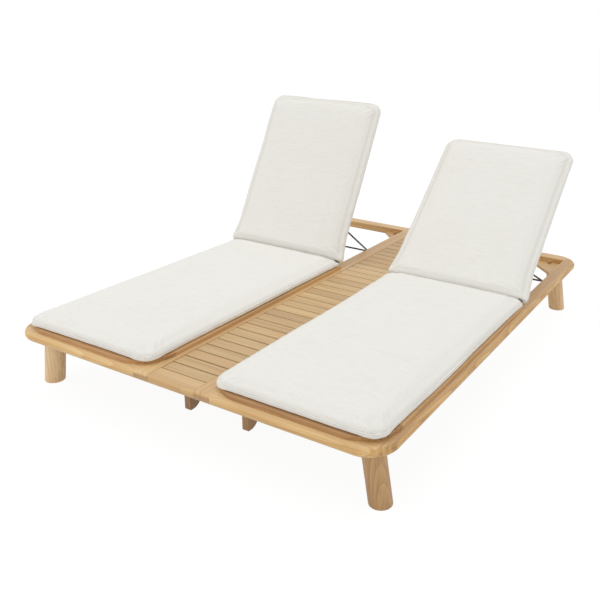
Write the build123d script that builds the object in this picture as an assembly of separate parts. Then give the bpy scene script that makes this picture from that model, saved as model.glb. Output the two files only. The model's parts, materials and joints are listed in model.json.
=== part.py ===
from build123d import *
import math
import os

# A double chaise lounger: two reclining loungers in one low timber frame, with a slatted table
# between them. Each lounger has a fixed seat panel, a hinged back panel held up by a steel prop
# bail, and a thin cushion in two halves that meet at the hinge.
# X runs across, Y from the foot end to the head end, Z up. The origin is on the floor, under the
# middle of the frame. All sizes are in millimetres and all angles in degrees.
# The right lounger is modelled and the left one is its mirror image, at its own back angle.

# Frame
frame_width = 1570.0
frame_length = 2000.0
rail_top = 241.0
rail_thickness = 35.0
side_rail_width = 60.0
centre_rail_width = 65.0
end_rail_width = 72.0
table_width = 200.0
corner_radius = 100.0
bullnose_radius = 16.0
arris_radius = 2.5
mitre_inset = 22.0

# Table between the loungers
table_board_depth = 62.0
table_board_gap = 0.6
table_slat_count = 34
table_slat_gap = 4.0
table_slat_thickness = 15.0
table_slat_end_gap = 1.0
table_bearer_width = 25.0

# Legs and corner plates
leg_diameter = 75.0
leg_foot_inset = 60.0
leg_end_inset = 107.0
leg_splay = 35.0
leg_foot_rounding = 3.0
centre_leg_thickness = 26.0
centre_leg_depth = 57.0
centre_leg_end_inset = 205.0
centre_leg_front_rounding = 3.0
centre_leg_back_rounding = 40.0
outer_gusset_reach = 180.0
inner_gusset_reach = 115.0
gusset_drop = 22.0
bolt_diameter = 8.0
bolt_depth = 60.0
bolt_cover = 3.0

# Seat panel, which lies on the rails
panel_rise = 14.0
seat_panel_inset = 20.0
seat_corner_radius = 130.0
seat_front_depth = 135.0
seat_stile_width = 60.0
seat_rear_depth = 60.0
seat_end_gap = 15.0
seat_slat_count = 12
seat_slat_gap = 17.0

# Back panel, which swings inside the rails
hinge_share = 0.6165
left_back_angle = 61.7
right_back_angle = 42.4
highest_back_angle = 61.7
back_panel_drop = 8.0
back_side_gap = 22.0
back_nose = 6.0
back_end_gap = 5.0
back_stile_width = 50.0
back_bottom_depth = 60.0
back_top_depth = 60.0
back_slat_count = 7
back_slat_gap = 18.0

# Slats of both panels have a tongue at each end, in a groove of the stile
slat_tongue_length = 8.0
slat_tongue_thickness = 6.0
slat_thickness = 14.0
slat_arris_radius = 2.0

# Hinges
hinge_pin_diameter = 8.0
hinge_pin_depth = 25.0
hinge_plate_thickness = 3.0
hinge_plate_width = 18.0
hinge_plate_height = 31.0
hinge_spacer_diameter = 15.0
running_clearance = 0.05

# Prop bail, its brackets on the back panel and its racks on the rails
bail_rod_diameter = 8.0
bail_arm_length = 276.9
bail_arm_inset = 8.0
bail_foot_bend = 20.0
bail_pivot_bend = 10.0
bail_stub_overhang = 8.0
prop_pivot_along_back = 181.4
prop_pivot_drop = 20.0
prop_foot_drop = 17.3
bracket_thickness = 3.0
bracket_eye_radius = 9.0
bracket_plate_length = 46.0
bracket_plate_height = 15.0
clip_diameter = 14.0
clip_thickness = 2.0
rack_notch_count = 3
rack_end_margin = 16.0
rack_width = 20.0
rack_lap = 30.0
rack_tip_drop = 28.5
rack_notch_radius = 5.0
rack_base_thickness = 15.0

# Rest pads on the rear corner plates, under the back panel when it lies flat
pad_diameter = 16.0
pad_clearance = 0.5
pad_side_inset = 60.0
pad_end_inset = 23.0
pad_inner_inset = 42.0

# Screws
screw_diameter = 4.0
screw_length = 16.0
screw_head_diameter = 8.0
screw_head_height = 2.0
plate_screw_drop = 15.0
plate_screw_pitch = 10.0
bracket_screw_pitch = 32.0

# Cushions
cushion_width = 630.0
cushion_height = 30.0
cushion_crown = 13.0
cushion_side_bulge_share = 0.16
cushion_end_height_share = 0.55
cushion_side_draw = 5.0
cushion_front_inset = 31.0
cushion_front_radius = 85.0
cushion_fold_radius = 45.0
cushion_top_radius = 58.0
cushion_head_overhang = 109.0
soft_clearance = 0.3
fold_clearance = 0.6

# One overrun for every cutting tool
overrun = 50.0

# Places worked out from the sizes above
half_width = frame_width / 2
front_y = -frame_length / 2
head_y = frame_length / 2
rail_under = rail_top - rail_thickness
table_half = table_width / 2
opening_inner_x = table_half + centre_rail_width
opening_outer_x = half_width - side_rail_width
opening_front_y = front_y + end_rail_width
opening_head_y = head_y - end_rail_width
lounger_centre_x = (table_half + half_width) / 2
hinge_from_front = frame_length * hinge_share
hinge_y = front_y + hinge_from_front
hinge_z = rail_top
seat_inner_x = table_half + seat_panel_inset
seat_outer_x = half_width - seat_panel_inset
seat_front_y = front_y + seat_panel_inset
seat_rear_y = hinge_y - seat_end_gap
back_panel_length = opening_head_y - hinge_y - back_end_gap
back_cushion_length = back_panel_length + cushion_head_overhang
back_inner_x = opening_inner_x + back_side_gap
back_outer_x = opening_outer_x - back_side_gap
gusset_top = rail_top - gusset_drop
leg_foot_x = half_width - leg_foot_inset
leg_top_x = leg_foot_x - leg_splay


def block(x0, x1, y0, y1, z0, z1):
    """A box between two corners."""
    return Pos(x0, y0, z0) * Box(x1 - x0, y1 - y0, z1 - z0, align=(Align.MIN, Align.MIN, Align.MIN))


def prism(points, z0, z1):
    """A plan outline raised from z0 to z1."""
    outline = make_face(Polyline(*points, close=True))
    return Pos(0, 0, z0) * extrude(outline, z1 - z0)


def rod_x(x0, x1, y, z, diameter):
    """A round bar along X."""
    bar = Cylinder(diameter / 2, x1 - x0, align=(Align.CENTER, Align.CENTER, Align.MIN))
    return Pos(x0, y, z) * Rot(0, 90, 0) * bar


def ring_x(x0, x1, y, z, diameter, bore):
    """A round bar along X with a bore through it."""
    return rod_x(x0, x1, y, z, diameter) - rod_x(x0 - overrun, x1 + overrun, y, z, bore)


def mirrored(pieces):
    """The same pieces for the left lounger."""
    return [mirror(piece, about=Plane.YZ) for piece in pieces]


def save(name, *pieces):
    """Write one sub-part, which may be a group of separate solids."""
    solids = [solid for piece in pieces for solid in piece.solids()]
    export_step(Compound(solids), "parts/" + name + ".step")


def both_sides(name, right, left=None):
    """Write a right and a left sub-part; the left one is mirrored unless it is given."""
    save("right_" + name, *right)
    save("left_" + name, *(mirrored(right) if left is None else left))


# Frame rails

def outer_slab():
    """The whole frame as one rounded board, from which each rail takes its outer shape."""
    slab = block(-half_width, half_width, front_y, head_y, rail_under, rail_top)
    slab = fillet(slab.edges().filter_by(Axis.Z), corner_radius)
    rims = slab.edges().group_by(Axis.Z)
    return fillet(rims[0] + rims[-1], bullnose_radius)


def rail(slab, points):
    """One rail: the part of the slab over a plan outline."""
    return slab & prism(points, rail_under - overrun, rail_top + overrun)


def soften_inner_edge(piece, axis, level):
    """Round the two long inner edges of a rail."""
    tolerance = arris_radius / 10
    edges = piece.edges().filter_by_position(axis, level - tolerance, level + tolerance)
    flat = [edge for edge in edges if abs(edge.tangent_at(0).Z) < tolerance]
    return fillet(flat, arris_radius)


def side_rail(slab):
    """Outer rail, with the corner seams at both ends."""
    seam_x = half_width - mitre_inset
    points = [
        (opening_outer_x, opening_front_y),
        (seam_x, front_y),
        (seam_x, front_y - overrun),
        (half_width + overrun, front_y - overrun),
        (half_width + overrun, head_y + overrun),
        (seam_x, head_y + overrun),
        (seam_x, head_y),
        (opening_outer_x, opening_head_y),
    ]
    piece = soften_inner_edge(rail(slab, points), Axis.X, opening_outer_x)
    return piece - hinge_screw_bores(opening_outer_x, -1)


def front_rail(slab):
    """Foot rail of one lounger, from the centre rail to the corner seam."""
    seam_x = half_width - mitre_inset
    points = [
        (opening_inner_x, front_y - overrun),
        (seam_x, front_y - overrun),
        (seam_x, front_y),
        (opening_outer_x, opening_front_y),
        (opening_inner_x, opening_front_y),
    ]
    return soften_inner_edge(rail(slab, points), Axis.Y, opening_front_y)


def centre_rail(slab):
    """Inner rail, which runs from end to end beside the table."""
    points = [
        (table_half, front_y - overrun),
        (opening_inner_x, front_y - overrun),
        (opening_inner_x, head_y + overrun),
        (table_half, head_y + overrun),
    ]
    return rail(slab, points) - hinge_screw_bores(opening_inner_x, 1)


def turned_end(piece):
    """The same rail at the head end."""
    return mirror(piece, about=Plane.XZ)


def frame_rails():
    slab = outer_slab()
    both_sides("side_rail", [side_rail(slab)])
    both_sides("centre_rail", [centre_rail(slab)])
    front = front_rail(slab)
    both_sides("front_rail", [front])
    both_sides("head_rail", [turned_end(front)])
    reach = table_half - table_board_gap
    board = rail(slab, [
        (-reach, front_y - overrun),
        (reach, front_y - overrun),
        (reach, front_y + table_board_depth),
        (-reach, front_y + table_board_depth),
    ])
    save("table_front_board", board)
    save("table_head_board", turned_end(board))


# Table

def table_slats():
    """Cross slats level with the rails, each on the two bearers."""
    start_y = front_y + table_board_depth
    run = frame_length - 2 * table_board_depth
    width = (run - (table_slat_count + 1) * table_slat_gap) / table_slat_count
    reach = table_half - table_slat_end_gap
    slat = block(-reach, reach, 0, width, rail_top - table_slat_thickness, rail_top)
    slat = fillet(slat.edges().group_by(Axis.Z)[-1], slat_arris_radius)
    pitch = width + table_slat_gap
    return [Pos(0, start_y + table_slat_gap + i * pitch, 0) * slat for i in range(table_slat_count)]


def table_bearers():
    """A strip on the inner face of each centre rail, under the slats."""
    bearer = block(
        table_half - table_bearer_width, table_half,
        front_y + table_board_depth, head_y - table_board_depth,
        rail_under, rail_top - table_slat_thickness)
    return [bearer] + mirrored([bearer])


# Legs and corner plates

def corner_leg():
    """Round leg, splayed outwards, with its top flat against the corner plate."""
    foot = Vector(leg_foot_x, 0, 0)
    top = Vector(leg_top_x, 0, rail_under)
    lean = Plane(origin=foot, z_dir=top - foot)
    bar = lean * Cylinder(leg_diameter / 2, 2 * rail_top)
    reach = leg_diameter
    keep = block(leg_top_x - reach, leg_foot_x + reach, -reach, reach, 0, rail_under)
    leg = bar & keep
    leg = fillet(leg.edges().group_by(Axis.Z)[0], leg_foot_rounding)
    return leg - bolt_bore()


def bolt_bore():
    """Blind hole for a hanger bolt, from inside the leg up into the corner plate."""
    low = (Align.CENTER, Align.CENTER, Align.MIN)
    bottom = rail_under - bolt_depth
    bore = Cylinder(
        bolt_diameter / 2 + running_clearance, gusset_top - bolt_cover - bottom, align=low)
    return Pos(leg_top_x, 0, bottom) * bore


def leg_bolt():
    """Hanger bolt, which ends out of sight in the leg and in the corner plate."""
    low = (Align.CENTER, Align.CENTER, Align.MIN)
    bottom = rail_under - bolt_depth
    length = gusset_top - bolt_cover - bottom - 2 * running_clearance
    bolt = Cylinder(bolt_diameter / 2, length, align=low)
    return Pos(leg_top_x, 0, bottom + running_clearance) * bolt


def centre_leg():
    """Board on edge under the centre rail, cut back in a wide curve behind its foot."""
    x0 = table_half + (centre_rail_width - centre_leg_thickness) / 2
    leg = block(x0, x0 + centre_leg_thickness, 0, centre_leg_depth, 0, rail_under)
    back = leg.edges().filter_by(Axis.X).group_by(Axis.Z)[0].sort_by(Axis.Y)[-1]
    leg = fillet(back, centre_leg_back_rounding)
    front = leg.edges().filter_by(Axis.X).group_by(Axis.Z)[0].sort_by(Axis.Y)[0]
    leg = fillet(front, centre_leg_front_rounding)
    return Pos(0, front_y + centre_leg_end_inset, 0) * leg


def corner_gusset(corner_x, across, reach):
    """Triangular plate in a front corner of a lounger's frame; across is the way it extends."""
    points = [
        (corner_x, opening_front_y),
        (corner_x + across * reach, opening_front_y),
        (corner_x, opening_front_y + reach),
    ]
    return prism(points, rail_under, gusset_top)


def corner_gussets():
    """Both plates at the outer side, bored for the leg bolts, and both at the inner side."""
    outer = corner_gusset(opening_outer_x, -1, outer_gusset_reach)
    outer = outer - Pos(0, front_y + leg_end_inset, 0) * bolt_bore()
    inner = corner_gusset(opening_inner_x, 1, inner_gusset_reach)
    right = [outer, inner, turned_end(outer), turned_end(inner)]
    return right + mirrored(right)


def legs():
    leg = Pos(0, front_y + leg_end_inset, 0) * corner_leg()
    both_sides("front_leg", [leg])
    both_sides("rear_leg", [turned_end(leg)])
    board = centre_leg()
    both_sides("front_centre_leg", [board])
    both_sides("rear_centre_leg", [turned_end(board)])
    bolt = Pos(0, front_y + leg_end_inset, 0) * leg_bolt()
    right = [bolt, turned_end(bolt)]
    save("leg_bolts", *right, *mirrored(right))
    save("corner_gussets", *corner_gussets())


def rest_pads():
    """Rubber pads on the rear corner plates."""
    height = hinge_z - back_panel_drop - pad_clearance - gusset_top
    pad = Cylinder(pad_diameter / 2, height, align=(Align.CENTER, Align.CENTER, Align.MIN))
    y = opening_head_y - pad_end_inset
    places = [(opening_outer_x - pad_side_inset, y), (opening_inner_x + pad_inner_inset, y)]
    right = [Pos(x, y, gusset_top) * pad for x, y in places]
    save("rest_pads", *right, *mirrored(right))


# Panels

def slatted_row(inner_x, outer_x, start_y, end_y, count, gap, top):
    """Slats across a panel, evenly spaced, with a tongue at each end."""
    width = (end_y - start_y - (count + 1) * gap) / count
    board = block(inner_x, outer_x, 0, width, top - slat_thickness, top)
    board = fillet(board.edges().filter_by(Axis.X).group_by(Axis.Z)[-1], slat_arris_radius)
    middle = top - slat_thickness / 2
    tongue = block(
        inner_x - slat_tongue_length + running_clearance,
        outer_x + slat_tongue_length - running_clearance,
        slat_arris_radius, width - slat_arris_radius,
        middle - slat_tongue_thickness / 2, middle + slat_tongue_thickness / 2)
    slat = board + tongue
    return [Pos(0, start_y + gap + i * (width + gap), 0) * slat for i in range(count)]


def groove(x, side, start_y, end_y, top):
    """Cutting tool for the groove that takes the slats' tongues."""
    middle = top - slat_thickness / 2
    half = slat_tongue_thickness / 2 + running_clearance
    edge = x + side * slat_tongue_length
    return block(min(x, edge), max(x, edge), start_y, end_y, middle - half, middle + half)


def seat_panel():
    """Seat panel of one lounger: front member, two stiles, rear member and slats."""
    top = rail_top + panel_rise
    board = block(seat_inner_x, seat_outer_x, seat_front_y, seat_rear_y, rail_top, top)
    front_corners = board.edges().filter_by(Axis.Z).group_by(Axis.Y)[0]
    board = fillet(front_corners, seat_corner_radius)
    board = fillet(board.edges().group_by(Axis.Z)[-1], arris_radius)
    front_end = seat_front_y + seat_front_depth
    rear_start = seat_rear_y - seat_rear_depth
    inner_edge = seat_inner_x + seat_stile_width
    outer_edge = seat_outer_x - seat_stile_width
    low, high = rail_top - overrun, top + overrun
    left_of, right_of = seat_inner_x - overrun, seat_outer_x + overrun
    front = board & block(left_of, right_of, seat_front_y - overrun, front_end, low, high)
    inner = board & block(left_of, inner_edge, front_end, seat_rear_y + overrun, low, high)
    outer = board & block(outer_edge, right_of, front_end, seat_rear_y + overrun, low, high)
    rear = board & block(inner_edge, outer_edge, rear_start, seat_rear_y + overrun, low, high)
    inner = inner - groove(inner_edge, -1, front_end, rear_start, top)
    outer = outer - groove(outer_edge, 1, front_end, rear_start, top)
    slats = slatted_row(
        inner_edge, outer_edge, front_end, rear_start, seat_slat_count, seat_slat_gap, top)
    both_sides("seat_front_member", [front])
    both_sides("seat_stiles", [inner, outer])
    both_sides("seat_rear_member", [rear])
    both_sides("seat_slats", slats)


def lifted(piece, angle):
    """Swing a piece of the back panel from flat up to its angle."""
    return Pos(0, hinge_y, hinge_z) * Rot(angle, 0, 0) * piece


def back_stile(inner_x, outer_x, groove_x, groove_side, pin_x):
    """One stile of the back panel, lying flat, with the hinge line on the X axis."""
    stile = block(
        inner_x, outer_x, -back_nose, back_panel_length, -back_panel_drop, panel_rise)
    nose = stile.edges().filter_by(Axis.X).group_by(Axis.Y)[0]
    stile = fillet(nose, back_nose)
    stile = fillet(stile.edges().filter_by(Axis.Y), arris_radius)
    start, end = back_bottom_depth - back_nose, back_panel_length - back_top_depth
    stile = stile - groove(groove_x, groove_side, start, end, panel_rise)
    pin_bore = hinge_pin_diameter + 2 * running_clearance
    return stile - rod_x(
        pin_x - hinge_pin_depth - running_clearance, pin_x + hinge_pin_depth + running_clearance,
        0, 0, pin_bore)


def back_frame():
    """Back panel of the right lounger, lying flat: stiles, two rails and slats."""
    inner_edge = back_inner_x + back_stile_width
    outer_edge = back_outer_x - back_stile_width
    inner = back_stile(back_inner_x, inner_edge, inner_edge, -1, back_inner_x)
    outer = back_stile(outer_edge, back_outer_x, outer_edge, 1, back_outer_x)
    rows = screw_rows()
    inner, outer = [piece - tool for piece, tool in zip((inner, outer), rows)]
    start, end = back_bottom_depth - back_nose, back_panel_length - back_top_depth
    bottom = block(inner_edge, outer_edge, -back_nose, start, -back_panel_drop, panel_rise)
    nose = bottom.edges().filter_by(Axis.X).group_by(Axis.Y)[0]
    bottom = fillet(nose, back_nose)
    top = block(inner_edge, outer_edge, end, back_panel_length, -back_panel_drop, panel_rise)
    top = fillet(top.edges().filter_by(Axis.X), arris_radius)
    slats = slatted_row(
        inner_edge, outer_edge, start, end, back_slat_count, back_slat_gap, panel_rise)
    return {
        "back_stiles": [inner, outer],
        "back_bottom_rail": [bottom],
        "back_top_rail": [top],
        "back_slats": slats,
    }


# Brackets and screws

def bracket(x, side):
    """Steel ear on a stile's side face, for the prop bail's pivot; side is the way it faces."""
    x0, x1 = min(x, x + side * bracket_thickness), max(x, x + side * bracket_thickness)
    y = prop_pivot_along_back
    half = bracket_plate_length / 2
    centre_z = (panel_rise - back_panel_drop) / 2
    plate = block(
        x0, x1, y - half, y + half,
        centre_z - bracket_plate_height / 2, centre_z + bracket_plate_height / 2)
    plate = fillet(plate.edges().filter_by(Axis.X), arris_radius)
    neck = block(x0, x1, y - bracket_eye_radius, y + bracket_eye_radius, -prop_pivot_drop, centre_z)
    eye = rod_x(x0, x1, y, -prop_pivot_drop, 2 * bracket_eye_radius)
    bore = bail_rod_diameter + 2 * running_clearance
    ear = plate + neck + eye
    return ear - rod_x(x0 - overrun, x1 + overrun, y, -prop_pivot_drop, bore)


def screw(x, y, z, side):
    """Pan-head screw along X; its head stands off the face at x, on the side given."""
    length = screw_length + screw_head_height
    body = rod_x(0, screw_head_height, 0, 0, screw_head_diameter)
    body = fillet(body.edges().group_by(Axis.X)[-1], screw_head_height / 2)
    body = body + rod_x(screw_head_height - length, 0, 0, 0, screw_diameter)
    if side < 0:
        body = mirror(body, about=Plane.YZ)
    return Pos(x, y, z) * body


def screw_bore(x, y, z, side):
    """The hole that such a screw fits in."""
    bore = screw_diameter + 2 * running_clearance
    far = x - side * (screw_length + running_clearance)
    return rod_x(min(x, far), max(x, far), y, z, bore)


def bracket_screw_places():
    """Places of a bracket's screws along the back and up it."""
    half = bracket_screw_pitch / 2
    centre_z = (panel_rise - back_panel_drop) / 2
    return [(prop_pivot_along_back + k * half, centre_z) for k in (-1, 1)]


def screw_rows():
    """Bores through each bracket into its stile: inner side first, then outer side."""
    rows = []
    for x, side in ((back_inner_x, -1), (back_outer_x, 1)):
        face = x + side * bracket_thickness
        rows.append([screw_bore(face, y, z, side) for y, z in bracket_screw_places()])
    return rows


def back_hardware():
    """Brackets and their screws on the right back panel, lying flat."""
    brackets, screws = [], []
    for (x, side), tools in zip(((back_inner_x, -1), (back_outer_x, 1)), screw_rows()):
        brackets.append(bracket(x, side) - tools)
        face = x + side * bracket_thickness
        screws += [screw(face, y, z, side) for y, z in bracket_screw_places()]
    return {"prop_brackets": brackets, "bracket_screws": screws}


def hinge_sides():
    """The two hinges of the right lounger: rail face, way it faces and the back panel's side."""
    return ((opening_inner_x, 1, back_inner_x), (opening_outer_x, -1, back_outer_x))


def hinge_screw_places():
    """Places of a hinge plate's screws."""
    return [(hinge_y, hinge_z - plate_screw_drop - k * plate_screw_pitch) for k in (0, 1)]


def hinge_screw_bores(face, side):
    """Bores through a hinge plate into its rail; side is the way the rail's face looks."""
    inner = face + side * hinge_plate_thickness
    return [screw_bore(inner, y, z, side) for y, z in hinge_screw_places()]


def hinges():
    """Hinge plates on the rails, their pins, spacers and screws."""
    plates, pins, spacers, screws = [], [], [], []
    pin_bore = hinge_pin_diameter + 2 * running_clearance
    for face, side, panel_x in hinge_sides():
        inner = face + side * hinge_plate_thickness
        x0, x1 = min(face, inner), max(face, inner)
        half = hinge_plate_width / 2
        plate = block(x0, x1, hinge_y - half, hinge_y + half, hinge_z - hinge_plate_height, hinge_z)
        plate = plate + rod_x(x0, x1, hinge_y, hinge_z, hinge_plate_width)
        plate = plate - rod_x(x0 - overrun, x1 + overrun, hinge_y, hinge_z, pin_bore)
        plate = plate - hinge_screw_bores(face, side)
        plates.append(plate)
        end = panel_x + side * hinge_pin_depth
        pins.append(rod_x(min(face, end), max(face, end), hinge_y, hinge_z, hinge_pin_diameter))
        near, far = sorted((inner + side * running_clearance, panel_x - side * soft_clearance))
        spacers.append(ring_x(near, far, hinge_y, hinge_z, hinge_spacer_diameter, pin_bore))
        screws += [screw(inner, y, z, side) for y, z in hinge_screw_places()]
    save("hinge_plates", *plates, *mirrored(plates))
    save("hinge_pins", *pins, *mirrored(pins))
    save("hinge_spacers", *spacers, *mirrored(spacers))
    save("hinge_screws", *screws, *mirrored(screws))


# Prop bail and racks

def bail_angle(back_angle):
    """Slope of the bail's arms when its foot bar is over the racks at this back angle."""
    swing = math.radians(back_angle)
    pivot_z = prop_pivot_along_back * math.sin(swing) - prop_pivot_drop * math.cos(swing)
    return -math.degrees(math.asin((pivot_z + prop_foot_drop) / bail_arm_length))


def pivot_place(back_angle):
    """Where the bail's pivot is at this back angle."""
    swing = math.radians(back_angle)
    y = prop_pivot_along_back * math.cos(swing) + prop_pivot_drop * math.sin(swing)
    z = prop_pivot_along_back * math.sin(swing) - prop_pivot_drop * math.cos(swing)
    return hinge_y + y, hinge_z + z


def prop_bail(back_angle):
    """Bent steel rod: two stubs in the brackets, two arms and a foot bar, with its clips."""
    inner_x = opening_inner_x + bail_arm_inset
    outer_x = opening_outer_x - bail_arm_inset
    stub_inner = back_inner_x + bail_stub_overhang
    stub_outer = back_outer_x - bail_stub_overhang
    points = [
        (stub_inner, 0, 0), (inner_x, 0, 0), (inner_x, bail_arm_length, 0),
        (outer_x, bail_arm_length, 0), (outer_x, 0, 0), (stub_outer, 0, 0),
    ]
    bends = [bail_pivot_bend, bail_foot_bend, bail_foot_bend, bail_pivot_bend]
    path = FilletPolyline(*points, radius=bends)
    section = Plane(origin=points[0], z_dir=(-1, 0, 0)) * Circle(bail_rod_diameter / 2)
    bail = sweep(section, path=path)
    bore = bail_rod_diameter + 2 * running_clearance
    gap = 2 * running_clearance
    clips = [
        ring_x(back_inner_x + gap, back_inner_x + gap + clip_thickness, 0, 0, clip_diameter, bore),
        ring_x(back_outer_x - gap - clip_thickness, back_outer_x - gap, 0, 0, clip_diameter, bore),
    ]
    y, z = pivot_place(back_angle)
    place = Pos(0, y, z) * Rot(bail_angle(back_angle), 0, 0)
    return [place * bail], [place * clip for clip in clips]


def foot_place(back_angle):
    """How far along Y the bail's foot bar is at this back angle."""
    y, z = pivot_place(back_angle)
    return y + bail_arm_length * math.cos(math.radians(bail_angle(back_angle)))


def notch_places():
    """A notch under the foot bar for each step of the back, from its highest to its lowest."""
    first, last = foot_place(highest_back_angle), foot_place(right_back_angle)
    pitch = (last - first) / (rack_notch_count - 1)
    return [first + i * pitch for i in range(rack_notch_count)]


def prop_rack(face, side):
    """Notched board fixed under a rail, standing inside it; side is the way it faces."""
    notches = notch_places()
    start, end = notches[0] - rack_end_margin, notches[-1] + rack_end_margin
    tip = hinge_z - rack_tip_drop
    inner = face + side * rack_width
    lap = face - side * rack_lap
    base = block(
        min(inner, lap), max(inner, lap), start, end,
        rail_under - rack_base_thickness, rail_under)
    near = face + side * soft_clearance
    comb = block(min(inner, near), max(inner, near), start, end, rail_under, tip)
    rack = base + comb
    for y in notches:
        x0, x1 = min(inner, near) - overrun, max(inner, near) + overrun
        rack = rack - rod_x(x0, x1, y, tip, 2 * rack_notch_radius)
    return rack


def prop_racks():
    right = [prop_rack(opening_inner_x, 1), prop_rack(opening_outer_x, -1)]
    save("prop_racks", *right, *mirrored(right))


# Cushions

def pillow_section(y, half, height, crown):
    """Cross-section of a cushion: flat below, bulged at the sides, crowned above."""
    bulge = cushion_side_bulge_share * height
    side = half - bulge
    left_low, right_low = (-side, y, 0), (side, y, 0)
    left_high, right_high = (-side, y, height), (side, y, height)
    edges = [
        Line(left_low, right_low),
        ThreePointArc(right_low, (half, y, height / 2), right_high),
        ThreePointArc(right_high, (0, y, height + crown), left_high),
        ThreePointArc(left_high, (-half, y, height / 2), left_low),
    ]
    return Face(Wire(edges))


def end_stations(radius):
    """How a rounded end starts: distance from the end, side inset and share of full height."""
    steps = 5
    angles = [math.radians(90 * i / steps) for i in range(steps)]
    return [
        (radius * (1 - math.cos(a)), radius * (1 - math.sin(a)), math.sin(a)) for a in angles]


def pillow(length, near_radius, far_radius):
    """Cushion along Y from the origin, with rounded plan corners and drawn-in sides."""
    stations = []
    for depth, inset, share in end_stations(near_radius):
        stations.append((depth, inset, share))
    middle_shares = (0, 0.25, 0.5, 0.75, 1)
    body = length - near_radius - far_radius
    for share in middle_shares:
        draw = cushion_side_draw * 4 * share * (1 - share)
        stations.append((near_radius + share * body, draw, 1))
    for depth, inset, share in reversed(end_stations(far_radius)):
        stations.append((length - depth, inset, share))
    sections = []
    for y, inset, share in stations:
        end_share = cushion_end_height_share + (1 - cushion_end_height_share) * share
        sections.append(pillow_section(
            y, cushion_width / 2 - inset, cushion_height * end_share, cushion_crown * end_share))
    return loft(sections, ruled=True)


def fold_tool(angle, side):
    """Half space beyond a plane that leans over the hinge line; side is the way it extends."""
    size = cushion_width + overrun
    tool = Box(size, size, size, align=(Align.CENTER, Align.MIN, Align.CENTER))
    if side < 0:
        tool = mirror(tool, about=Plane.XZ)
    return Rot(angle, 0, 0) * tool


def seat_cushion():
    """Seat half, cut back at the hinge so that the raised back half clears it."""
    length = hinge_from_front - cushion_front_inset
    base = rail_top + panel_rise + soft_clearance
    pad = Pos(lounger_centre_x, hinge_y - length, base) * pillow(
        length, cushion_front_radius, cushion_fold_radius)
    tool = fold_tool(highest_back_angle / 2, 1)
    return pad - Pos(lounger_centre_x, hinge_y - fold_clearance, hinge_z) * tool


def back_cushion():
    """Back half, lying flat, with the hinge line on the X axis."""
    pad = Pos(lounger_centre_x, 0, panel_rise + soft_clearance) * pillow(
        back_cushion_length, cushion_fold_radius, cushion_top_radius)
    tool = fold_tool(-highest_back_angle / 2, -1)
    return pad - Pos(lounger_centre_x, fold_clearance, 0) * tool


def backrests():
    """Both back panels and cushions, each swung up to its own angle."""
    groups = {**back_frame(), **back_hardware(), "back_cushion": [back_cushion()]}
    for name, pieces in groups.items():
        right = [lifted(piece, right_back_angle) for piece in pieces]
        left = mirrored([lifted(piece, left_back_angle) for piece in pieces])
        both_sides(name, right, left)


def bails():
    right_bail, right_clips = prop_bail(right_back_angle)
    left_bail, left_clips = prop_bail(left_back_angle)
    both_sides("prop_bail", right_bail, mirrored(left_bail))
    both_sides("prop_clips", right_clips, mirrored(left_clips))


def main():
    os.makedirs("parts", exist_ok=True)
    frame_rails()
    save("table_slats", *table_slats())
    save("table_bearers", *table_bearers())
    legs()
    rest_pads()
    seat_panel()
    hinges()
    prop_racks()
    both_sides("seat_cushion", [seat_cushion()])
    backrests()
    bails()


main()
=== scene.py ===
import json
import math

import bmesh
import bpy
from mathutils import Matrix, Vector, noise
from mathutils.bvhtree import BVHTree


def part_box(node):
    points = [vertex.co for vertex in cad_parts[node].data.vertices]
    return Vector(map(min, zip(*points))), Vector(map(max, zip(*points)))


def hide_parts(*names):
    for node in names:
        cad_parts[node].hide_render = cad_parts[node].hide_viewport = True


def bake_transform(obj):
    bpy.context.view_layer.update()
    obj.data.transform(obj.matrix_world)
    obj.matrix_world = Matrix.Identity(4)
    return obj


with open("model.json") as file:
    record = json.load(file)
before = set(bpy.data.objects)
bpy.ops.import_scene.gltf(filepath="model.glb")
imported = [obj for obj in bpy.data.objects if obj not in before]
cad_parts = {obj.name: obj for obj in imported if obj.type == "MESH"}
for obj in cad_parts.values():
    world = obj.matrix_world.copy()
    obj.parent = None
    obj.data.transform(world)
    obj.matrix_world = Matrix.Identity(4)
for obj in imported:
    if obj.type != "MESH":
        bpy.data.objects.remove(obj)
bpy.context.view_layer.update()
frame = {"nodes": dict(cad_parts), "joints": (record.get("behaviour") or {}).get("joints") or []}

# The looks of the double chaise lounger. The imported pieces get their materials, and one fuller
# cushion for each lounger, with its welts, a thin dark tube of painted groove shade above each
# welt, and its tie cord, stands for the cushion solids.
# All sizes and places are in metres and all angles in degrees, unless a comment says otherwise.

# Places from the imported model: the back hinges' axis, the cushions' underside and the rails' foot
HINGE = next(joint["pos_m"] for joint in frame["joints"] if joint["name"] == "left_back_hinge")
HINGE_Y, HINGE_Z = HINGE[1:]
PAD_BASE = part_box("left_seat_cushion")[0].z
RAIL_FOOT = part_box("left_side_rail")[0].z

# The two loungers: which side, the middle of the pad, the back's angle, the seed of its folds
# and how far its back half is stretched
SIDES = {
    "left": {"sign": -1, "centre": 0.4425, "angle": 61.7, "seed": 3, "stretch": 1.0},
    "right": {"sign": 1, "centre": 0.4475, "angle": 42.4, "seed": 8, "stretch": 0.991},
}

# Outline of the cushion halves
HALF_WIDTH = 0.315
SEAT_LENGTH = 1.202
BACK_LENGTH = 0.804
FRONT_RADIUS = 0.066
SEAT_FOLD_RADIUS = 0.034
BACK_FOLD_RADIUS = 0.016
TOP_RADIUS = 0.058
LEAST_RADIUS = 0.004
CORNER_STEPS = 16
SEAM_SPACING = 0.006

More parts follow.
